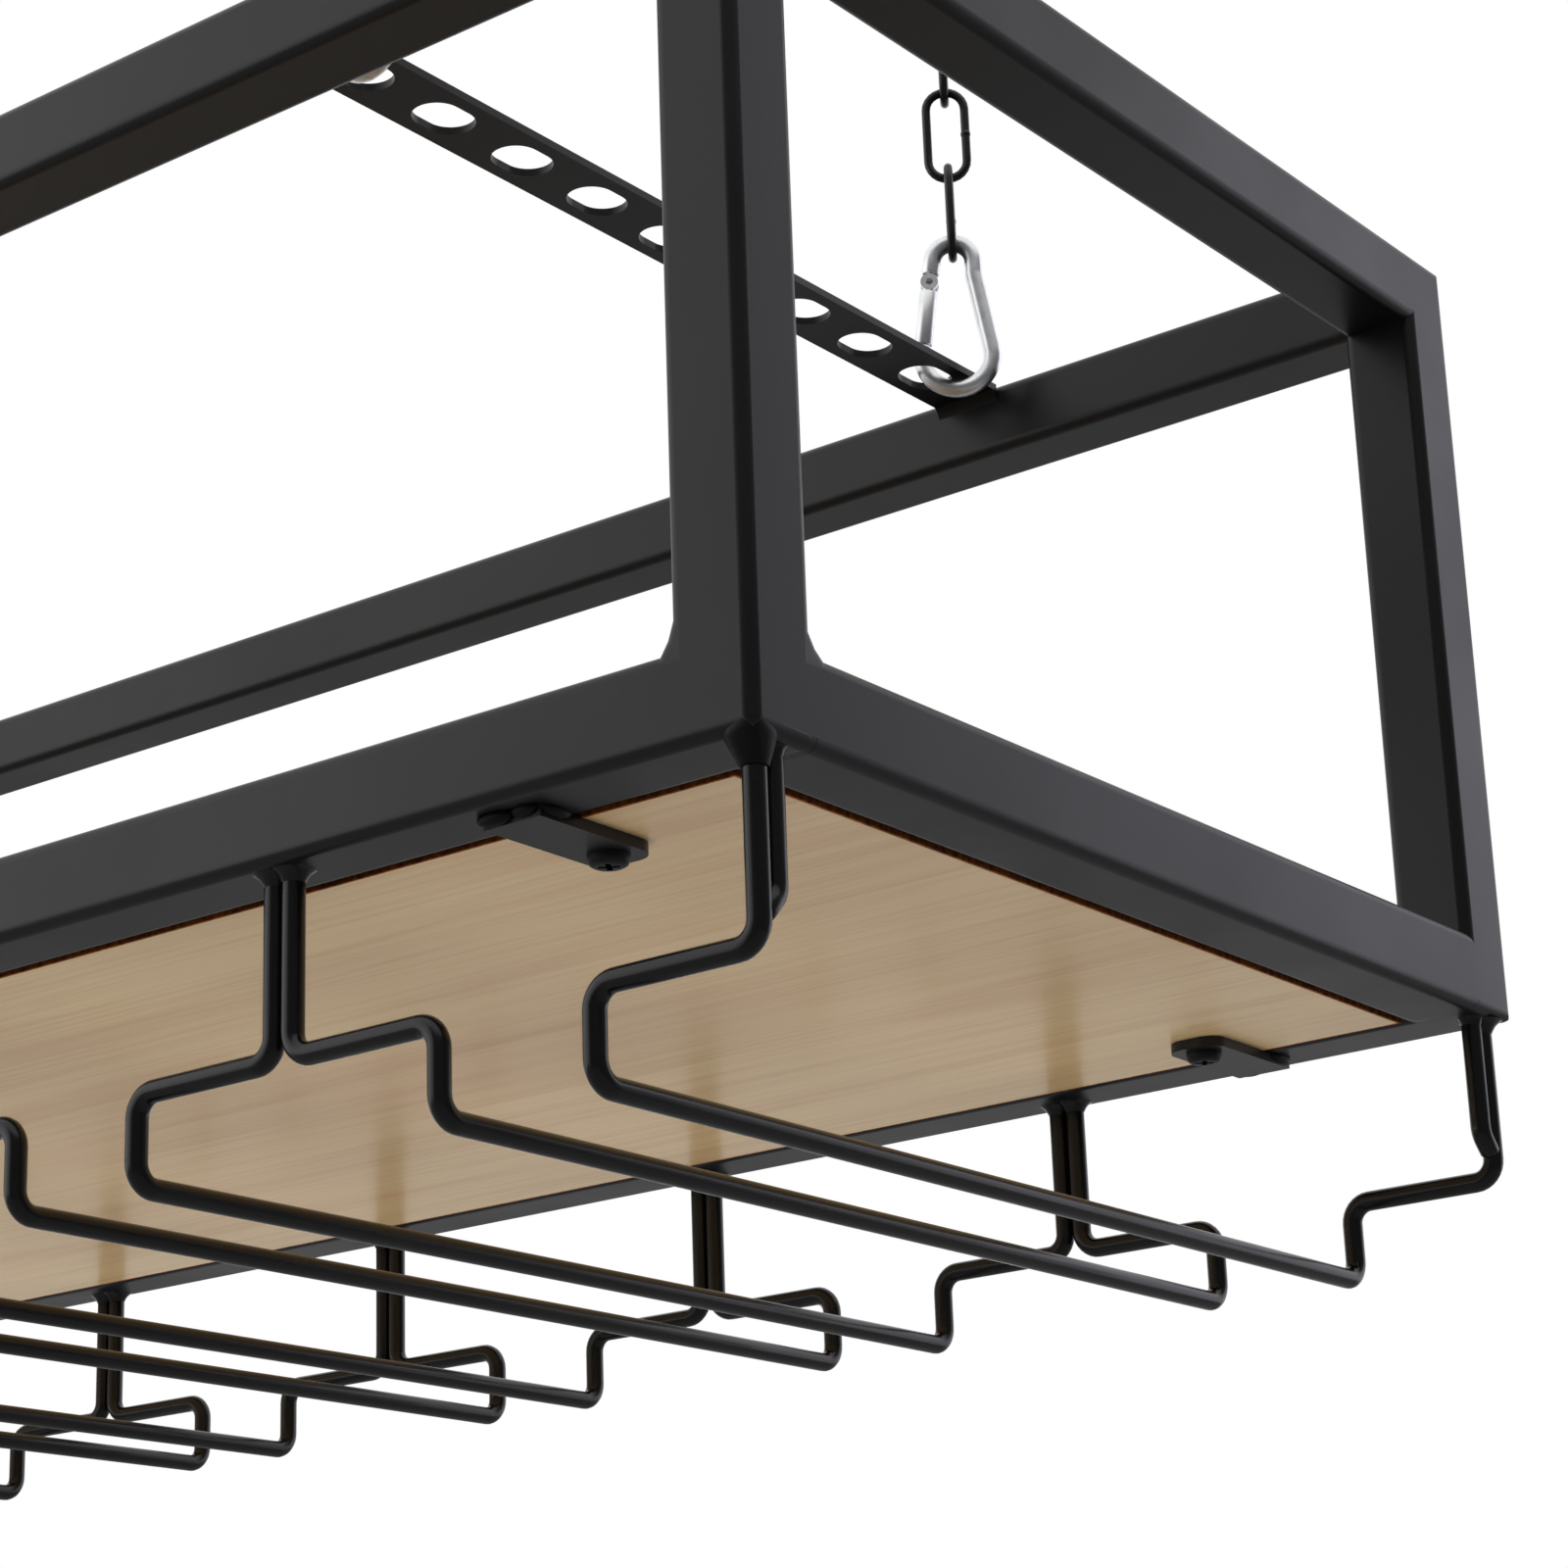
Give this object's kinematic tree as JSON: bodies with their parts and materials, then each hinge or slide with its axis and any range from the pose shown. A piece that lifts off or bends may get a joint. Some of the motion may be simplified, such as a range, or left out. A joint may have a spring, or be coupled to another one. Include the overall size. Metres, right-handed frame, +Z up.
{
  "type": "chain-hung stemware rack",
  "caption": "Ceiling-hung bar rack: welded square-tube frame, wooden shelf board, bent-wire stemware hangers below, and chains with snap hooks on perforated straps.",
  "frame": {"origin": "centre of the four ceiling hooks, in the plane of the ceiling", "axes": "+X along the rack's length to the right, +Y to the back, +Z up into the ceiling"},
  "size_m": [1, 0.31, 0.4673],
  "materials": {
    "frame": "satin black powder coat",
    "hanger_wire": "satin black powder coat",
    "board": "light oak laminate, semi-gloss",
    "screw": "black coated steel",
    "snap_hook": "bright zinc plate",
    "chain": "black coated steel",
    "ceiling_hook": "black coated steel"
  },
  "bodies": {
    "ceiling_fittings": {"front_right_ceiling_hook": "ceiling_hook", "back_right_ceiling_hook": "ceiling_hook", "front_left_ceiling_hook": "ceiling_hook", "back_left_ceiling_hook": "ceiling_hook"},
    "front_right_upper_chain": {"front_right_top_link": "chain"},
    "front_right_lower_chain": {"front_right_chain_links": "chain"},
    "front_right_snap": {"front_right_snap_hook": "snap_hook", "front_right_gate_pin": "snap_hook"},
    "front_right_gate": {"front_right_snap_gate": "snap_hook"},
    "back_right_upper_chain": {"back_right_top_link": "chain"},
    "back_right_lower_chain": {"back_right_chain_links": "chain"},
    "back_right_snap": {"back_right_snap_hook": "snap_hook", "back_right_gate_pin": "snap_hook"},
    "back_right_gate": {"back_right_snap_gate": "snap_hook"},
    "front_left_upper_chain": {"front_left_top_link": "chain"},
    "front_left_lower_chain": {"front_left_chain_links": "chain"},
    "front_left_snap": {"front_left_snap_hook": "snap_hook", "front_left_gate_pin": "snap_hook"},
    "front_left_gate": {"front_left_snap_gate": "snap_hook"},
    "back_left_upper_chain": {"back_left_top_link": "chain"},
    "back_left_lower_chain": {"back_left_chain_links": "chain"},
    "back_left_snap": {"back_left_snap_hook": "snap_hook", "back_left_gate_pin": "snap_hook"},
    "back_left_gate": {"back_left_snap_gate": "snap_hook"},
    "rack": {"back_board_tabs": "frame", "back_bottom_rail": "frame", "back_left_upright": "frame", "back_right_upright": "frame", "back_top_rail": "frame", "board_screws": "screw", "front_board_tabs": "frame", "front_bottom_rail": "frame", "front_left_upright": "frame", "front_right_upright": "frame", "front_top_rail": "frame", "glass_hanger_1": "hanger_wire", "glass_hanger_2": "hanger_wire", "glass_hanger_3": "hanger_wire", "glass_hanger_4": "hanger_wire", "glass_hanger_5": "hanger_wire", "glass_hanger_6": "hanger_wire", "glass_hanger_7": "hanger_wire", "left_bottom_end_rail": "frame", "left_end_hanger": "hanger_wire", "left_hanger_braces": "hanger_wire", "left_hanging_strap": "frame", "left_top_end_rail": "frame", "right_bottom_end_rail": "frame", "right_end_hanger": "hanger_wire", "right_hanger_braces": "hanger_wire", "right_hanging_strap": "frame", "right_top_end_rail": "frame", "shelf_board": "board"}
  },
  "joints": [
    {"name": "back_right_swing_along", "type": "hinge", "parent": "ceiling_fittings", "child": "back_right_upper_chain", "pos_m": [0.3678, 0.1196, -0.026], "axis": [0, 1, 0], "range_deg": [-10, 10]},
    {"name": "back_right_swing_across", "type": "hinge", "parent": "back_right_upper_chain", "child": "back_right_lower_chain", "pos_m": [0.3678, 0.1196, -0.04935], "axis": [1, 0, 0], "range_deg": [-10, 10]},
    {"name": "back_right_snap_swing", "type": "hinge", "parent": "back_right_lower_chain", "child": "back_right_snap", "pos_m": [0.3678, 0.1196, -0.12315], "axis": [1, 0, 0], "range_deg": [-10, 10]},
    {"name": "rack_level", "type": "hinge", "parent": "back_right_snap", "child": "rack", "pos_m": [0.3678, 0.1196, -0.1608], "axis": [0, 1, 0], "range_deg": [-10, 10]},
    {"name": "back_right_gate", "type": "hinge", "parent": "back_right_snap", "child": "back_right_gate", "pos_m": [0.36196, 0.11581, -0.1315], "axis": [0.5446, -0.8387, 0], "range_deg": [0, 25], "stiffness_Nm_per_rad": 0.02, "springref_deg": -17.19},
    {"name": "front_right_swing_along", "type": "hinge", "parent": "ceiling_fittings", "child": "front_right_upper_chain", "pos_m": [0.3678, -0.1196, -0.026], "axis": [0, 1, 0], "range_deg": [-10, 10]},
    {"name": "front_right_swing_across", "type": "hinge", "parent": "front_right_upper_chain", "child": "front_right_lower_chain", "pos_m": [0.3678, -0.1196, -0.04935], "axis": [1, 0, 0], "range_deg": [-10, 10]},
    {"name": "front_right_snap_swing", "type": "hinge", "parent": "front_right_lower_chain", "child": "front_right_snap", "pos_m": [0.3678, -0.1196, -0.12315], "axis": [1, 0, 0], "range_deg": [-10, 10]},
    {"name": "front_right_gate", "type": "hinge", "parent": "front_right_snap", "child": "front_right_gate", "pos_m": [0.36086, -0.11899, -0.1315], "axis": [-0.0872, -0.9962, 0], "range_deg": [0, 25], "stiffness_Nm_per_rad": 0.02, "springref_deg": -17.19},
    {"name": "front_left_swing_along", "type": "hinge", "parent": "ceiling_fittings", "child": "front_left_upper_chain", "pos_m": [-0.3678, -0.1196, -0.026], "axis": [0, 1, 0], "range_deg": [-10, 10]},
    {"name": "front_left_swing_across", "type": "hinge", "parent": "front_left_upper_chain", "child": "front_left_lower_chain", "pos_m": [-0.3678, -0.1196, -0.04935], "axis": [1, 0, 0], "range_deg": [-10, 10]},
    {"name": "front_left_snap_swing", "type": "hinge", "parent": "front_left_lower_chain", "child": "front_left_snap", "pos_m": [-0.3678, -0.1196, -0.12315], "axis": [1, 0, 0], "range_deg": [-10, 10]},
    {"name": "front_left_gate", "type": "hinge", "parent": "front_left_snap", "child": "front_left_gate", "pos_m": [-0.36086, -0.11899, -0.1315], "axis": [-0.0872, 0.9962, 0], "range_deg": [0, 25], "stiffness_Nm_per_rad": 0.02, "springref_deg": -17.19},
    {"name": "back_left_swing_along", "type": "hinge", "parent": "ceiling_fittings", "child": "back_left_upper_chain", "pos_m": [-0.3678, 0.1196, -0.026], "axis": [0, 1, 0], "range_deg": [-10, 10]},
    {"name": "back_left_swing_across", "type": "hinge", "parent": "back_left_upper_chain", "child": "back_left_lower_chain", "pos_m": [-0.3678, 0.1196, -0.04935], "axis": [1, 0, 0], "range_deg": [-10, 10]},
    {"name": "back_left_snap_swing", "type": "hinge", "parent": "back_left_lower_chain", "child": "back_left_snap", "pos_m": [-0.3678, 0.1196, -0.12315], "axis": [1, 0, 0], "range_deg": [-10, 10]},
    {"name": "back_left_gate", "type": "hinge", "parent": "back_left_snap", "child": "back_left_gate", "pos_m": [-0.36196, 0.11581, -0.1315], "axis": [0.5446, 0.8387, 0], "range_deg": [0, 25], "stiffness_Nm_per_rad": 0.02, "springref_deg": -17.19}
  ],
  "couplings": [
    {"joint": "back_right_snap_swing", "follows": "back_right_swing_across", "ratio": -1},
    {"joint": "rack_level", "follows": "back_right_swing_along", "ratio": -1},
    {"joint": "front_right_swing_along", "follows": "back_right_swing_along", "ratio": 1},
    {"joint": "front_right_swing_across", "follows": "back_right_swing_across", "ratio": 1},
    {"joint": "front_right_snap_swing", "follows": "back_right_swing_across", "ratio": -1},
    {"joint": "front_left_swing_along", "follows": "back_right_swing_along", "ratio": 1},
    {"joint": "front_left_swing_across", "follows": "back_right_swing_across", "ratio": 1},
    {"joint": "front_left_snap_swing", "follows": "back_right_swing_across", "ratio": -1},
    {"joint": "back_left_swing_along", "follows": "back_right_swing_along", "ratio": 1},
    {"joint": "back_left_swing_across", "follows": "back_right_swing_across", "ratio": 1},
    {"joint": "back_left_snap_swing", "follows": "back_right_swing_across", "ratio": -1}
  ]
}
